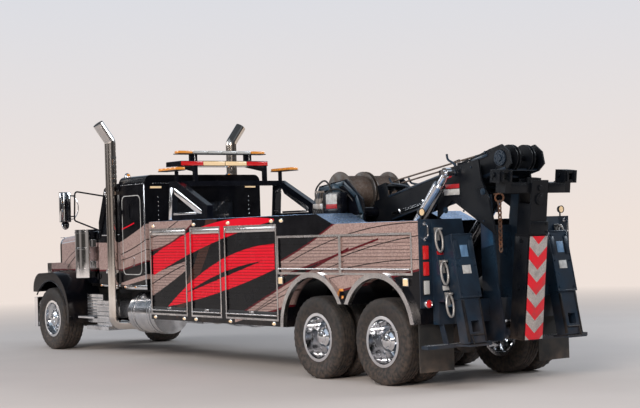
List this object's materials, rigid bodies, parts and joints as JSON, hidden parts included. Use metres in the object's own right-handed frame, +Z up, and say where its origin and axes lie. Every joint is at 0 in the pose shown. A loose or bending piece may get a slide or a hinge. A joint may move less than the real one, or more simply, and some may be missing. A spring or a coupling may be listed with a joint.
{
  "type": "heavy recovery tow truck",
  "caption": "Long-nosed conventional tractor with sleeper, side-box recovery body, tilting boom with twin winches, folding under-lift and stabilizer jacks.",
  "frame": {"origin": "on the ground under the middle of the whole truck, as it stands on its tyres", "axes": "+X forward, towards the hood; +Y to the driver's left; +Z up"},
  "size_m": [11.7068, 3.08, 3.7626],
  "materials": {
    "black_paint": "gloss",
    "tail_paint": "gloss",
    "frame_paint": "satin",
    "chrome": "polished",
    "polished_alloy": "polished",
    "shutter_alloy": "satin",
    "bare_steel": "brushed",
    "tyre": "matte",
    "rubber": "matte",
    "glass": "gloss",
    "trim_plastic": "matte",
    "lamp_lens": "gloss",
    "seat_cloth": "matte",
    "cast_iron": "matte",
    "wire_rope": "brushed"
  },
  "bodies": {
    "chassis": {"frame_rails": "frame_paint", "front_axle": "frame_paint", "drive_axles": "frame_paint", "engine": "cast_iron", "front_bumper": "chrome", "cab_shell": "black_paint", "cab_glass": "glass", "cab_interior": "seat_cloth", "sleeper_shell": "black_paint", "exhaust_stacks": "chrome", "air_cleaners": "chrome", "fuel_tanks": "polished_alloy", "step_boxes": "polished_alloy", "recovery_body": "black_paint", "shutters": "shutter_alloy", "body_trim": "polished_alloy", "tail_panels": "tail_paint", "tail_frame": "tail_paint", "tow_hooks": "tail_paint", "tail_fittings": "tail_paint", "mud_flaps": "rubber", "light_tower": "black_paint", "lamps": "lamp_lens", "winch_frame": "frame_paint"},
    "hood": {"hood": "black_paint", "grille": "chrome", "headlamps": "lamp_lens"},
    "cab_door_left": {"cab_door_left": "black_paint", "door_glass_left": "glass"},
    "sleeper_door_left": {"sleeper_door_left": "black_paint"},
    "cab_door_right": {"cab_door_right": "black_paint", "door_glass_right": "glass"},
    "sleeper_door_right": {"sleeper_door_right": "black_paint"},
    "knuckle_left": {"knuckle_left": "frame_paint"},
    "front_wheel_left": {"front_tyre_left": "tyre", "front_wheel_left": "chrome"},
    "knuckle_right": {"knuckle_right": "frame_paint"},
    "front_wheel_right": {"front_tyre_right": "tyre", "front_wheel_right": "chrome"},
    "steering_wheel": {"steering_wheel": "trim_plastic"},
    "drive_wheel_mid_left": {"drive_tyres_mid_left": "tyre", "drive_wheels_mid_left": "chrome"},
    "drive_wheel_mid_right": {"drive_tyres_mid_right": "tyre", "drive_wheels_mid_right": "chrome"},
    "drive_wheel_rear_left": {"drive_tyres_rear_left": "tyre", "drive_wheels_rear_left": "chrome"},
    "drive_wheel_rear_right": {"drive_tyres_rear_right": "tyre", "drive_wheels_rear_right": "chrome"},
    "winch_drum_left": {"winch_drum_left": "bare_steel"},
    "winch_drum_right": {"winch_drum_right": "bare_steel"},
    "boom": {"boom": "black_paint", "winch_ropes": "wire_rope"},
    "boom_extension": {"boom_extension": "black_paint"},
    "lift_barrels": {"lift_barrels": "black_paint"},
    "lift_rods": {"lift_rods": "bare_steel"},
    "underlift_arm": {"underlift_arm": "tail_paint"},
    "stinger": {"stinger": "tail_paint"},
    "crossbar": {"crossbar": "tail_paint"},
    "jack_left": {"jack_left": "tail_paint"},
    "jack_right": {"jack_right": "tail_paint"}
  },
  "joints": [
    {"name": "hood_tilt", "type": "hinge", "parent": "chassis", "child": "hood", "pos_m": [5.782, 0, 0.912], "axis": [0, 1, 0], "range_deg": [0, 75]},
    {"name": "cab_door_left_swing", "type": "hinge", "parent": "chassis", "child": "cab_door_left", "pos_m": [3.522, 0.976, 1.7], "axis": [0, 0, -1], "range_deg": [0, 70]},
    {"name": "sleeper_door_left_swing", "type": "hinge", "parent": "chassis", "child": "sleeper_door_left", "pos_m": [2.482, 1.086, 1.9], "axis": [0, 0, -1], "range_deg": [0, 80]},
    {"name": "cab_door_right_swing", "type": "hinge", "parent": "chassis", "child": "cab_door_right", "pos_m": [3.522, -0.976, 1.7], "axis": [0, 0, 1], "range_deg": [0, 70]},
    {"name": "sleeper_door_right_swing", "type": "hinge", "parent": "chassis", "child": "sleeper_door_right", "pos_m": [2.482, -1.086, 1.9], "axis": [0, 0, 1], "range_deg": [0, 80]},
    {"name": "steer_left", "type": "hinge", "parent": "chassis", "child": "knuckle_left", "pos_m": [4.922, 0.9, 0.53], "axis": [0, 0, 1], "range_deg": [-35, 35]},
    {"name": "front_wheel_left_spin", "type": "hinge", "parent": "knuckle_left", "child": "front_wheel_left", "pos_m": [4.922, 0.9945, 0.53], "axis": [0, 1, 0], "continuous": true},
    {"name": "steer_right", "type": "hinge", "parent": "chassis", "child": "knuckle_right", "pos_m": [4.922, -0.9, 0.53], "axis": [0, 0, 1], "range_deg": [-35, 35]},
    {"name": "front_wheel_right_spin", "type": "hinge", "parent": "knuckle_right", "child": "front_wheel_right", "pos_m": [4.922, -0.9945, 0.53], "axis": [0, 1, 0], "continuous": true},
    {"name": "steering_wheel_turn", "type": "hinge", "parent": "chassis", "child": "steering_wheel", "pos_m": [3.28773, 0.45, 1.88385], "axis": [-0.6428, 0, 0.766], "range_deg": [-565, 565]},
    {"name": "drive_wheel_mid_left_spin", "type": "hinge", "parent": "chassis", "child": "drive_wheel_mid_left", "pos_m": [-2.9895, 0.9565, 0.53], "axis": [0, 1, 0], "continuous": true},
    {"name": "drive_wheel_mid_right_spin", "type": "hinge", "parent": "chassis", "child": "drive_wheel_mid_right", "pos_m": [-2.9895, -0.9565, 0.53], "axis": [0, 1, 0], "continuous": true},
    {"name": "drive_wheel_rear_left_spin", "type": "hinge", "parent": "chassis", "child": "drive_wheel_rear_left", "pos_m": [-4.3265, 0.9565, 0.53], "axis": [0, 1, 0], "continuous": true},
    {"name": "drive_wheel_rear_right_spin", "type": "hinge", "parent": "chassis", "child": "drive_wheel_rear_right", "pos_m": [-4.3265, -0.9565, 0.53], "axis": [0, 1, 0], "continuous": true},
    {"name": "winch_drum_left_spin", "type": "hinge", "parent": "chassis", "child": "winch_drum_left", "pos_m": [-2.458, 0.22, 2.39], "axis": [0, 1, 0], "continuous": true},
    {"name": "winch_drum_right_spin", "type": "hinge", "parent": "chassis", "child": "winch_drum_right", "pos_m": [-2.458, -0.22, 2.39], "axis": [0, 1, 0], "continuous": true},
    {"name": "boom_raise", "type": "hinge", "parent": "chassis", "child": "boom", "pos_m": [-2.928, 0, 2.12], "axis": [0, 1, 0], "range_deg": [0, 35]},
    {"name": "boom_extend", "type": "slide", "parent": "boom", "child": "boom_extension", "axis": [-0.9774, 0, 0.2113], "range_m": [0, 1.2]},
    {"name": "lift_swing", "type": "hinge", "parent": "chassis", "child": "lift_barrels", "pos_m": [-3.528, 0, 1.2], "axis": [0, 1, 0], "range_deg": [0, 26.98]},
    {"name": "lift_stroke", "type": "slide", "parent": "lift_barrels", "child": "lift_rods", "axis": [-0.6846, 0, 0.729], "range_m": [0, 0.5902]},
    {"name": "underlift_fold", "type": "hinge", "parent": "chassis", "child": "underlift_arm", "pos_m": [-5.348, 0, 0.61], "axis": [0, -1, 0], "range_deg": [0, 83.3]},
    {"name": "stinger_extend", "type": "slide", "parent": "underlift_arm", "child": "stinger", "axis": [-0.1167, 0, 0.9932], "range_m": [0, 0.8]},
    {"name": "crossbar_swivel", "type": "hinge", "parent": "stinger", "child": "crossbar", "pos_m": [-5.72101, 0, 2.32822], "axis": [-0.9932, 0, -0.1167], "range_deg": [-15, 15]},
    {"name": "jack_left_lower", "type": "slide", "parent": "chassis", "child": "jack_left", "axis": [-0.2045, 0, -0.9789], "range_m": [0, 0.43]},
    {"name": "jack_right_lower", "type": "slide", "parent": "chassis", "child": "jack_right", "axis": [-0.2045, 0, -0.9789], "range_m": [0, 0.43]}
  ],
  "couplings": [
    {"joint": "steer_right", "follows": "steer_left", "ratio": 1},
    {"joint": "steering_wheel_turn", "follows": "steer_left", "ratio": 16},
    {"joint": "lift_swing", "follows": "boom_raise", "ratio": 0.76933},
    {"joint": "lift_stroke", "follows": "boom_raise", "m_per_rad": 0.96459}
  ]
}
